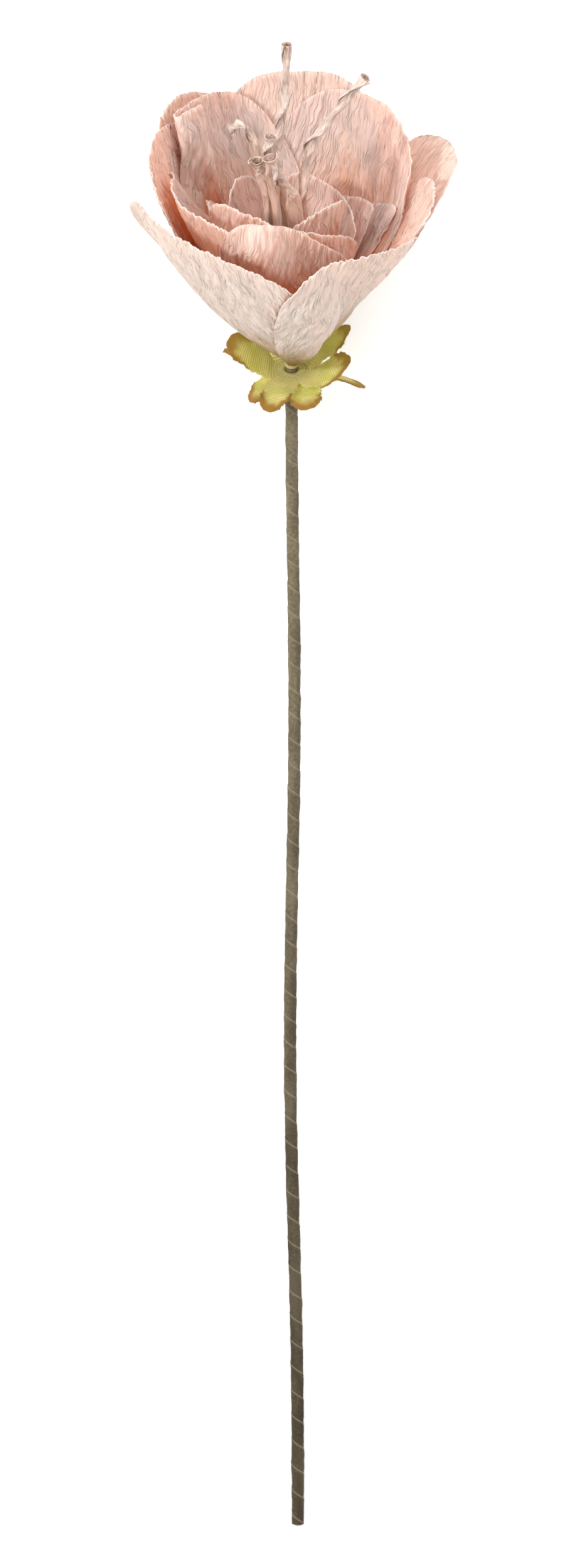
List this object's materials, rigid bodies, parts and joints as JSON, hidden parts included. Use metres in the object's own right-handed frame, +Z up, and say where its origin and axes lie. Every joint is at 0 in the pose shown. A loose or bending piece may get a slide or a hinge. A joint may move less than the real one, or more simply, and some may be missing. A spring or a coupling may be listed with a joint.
{
  "type": "crepe paper rose",
  "caption": "Handmade paper rose on a tape-wound wire stem, lying on its back: cupped petals round twisted paper stamens, cloth calyx.",
  "frame": {"origin": "under the middle of the lying rose, on the surface it lies on", "axes": "+Z up, +Y from the cut end of the stem towards the flower, +X to the right seen from above with the flower at the top"},
  "size_m": [0.112, 0.5362, 0.0984],
  "materials": {
    "petal_paper": "matt crepe paper, blush pink, deeper peach inside the cup",
    "stamen_paper": "matt twisted crepe paper strip",
    "core_paper": "matt wound paper",
    "calyx_cloth": "open woven polyester cloth, yellow green with scorched brown tips",
    "tape_paper": "stretched waxed crepe tape, olive brown",
    "wire_steel": "drawn steel wire"
  },
  "bodies": {
    "root": {"stem_wire": "wire_steel", "stem_tape": "tape_paper", "bud_core": "core_paper", "calyx_upper": "calyx_cloth", "calyx_lower": "calyx_cloth", "stamen_1": "stamen_paper", "stamen_2": "stamen_paper", "stamen_3": "stamen_paper", "stamen_4": "stamen_paper", "stamen_5": "stamen_paper", "stamen_6": "stamen_paper", "inner_petal_1": "petal_paper", "inner_petal_2": "petal_paper", "inner_petal_3": "petal_paper", "inner_petal_4": "petal_paper", "inner_petal_5": "petal_paper", "inner_petal_6": "petal_paper", "inner_petal_7": "petal_paper", "middle_petal_1": "petal_paper", "middle_petal_2": "petal_paper", "middle_petal_3": "petal_paper", "middle_petal_4": "petal_paper", "middle_petal_5": "petal_paper", "middle_petal_6": "petal_paper", "middle_petal_7": "petal_paper", "outer_petal_1": "petal_paper", "outer_petal_2": "petal_paper", "outer_petal_3": "petal_paper", "outer_petal_4": "petal_paper", "outer_petal_5": "petal_paper"}
  },
  "joints": []
}
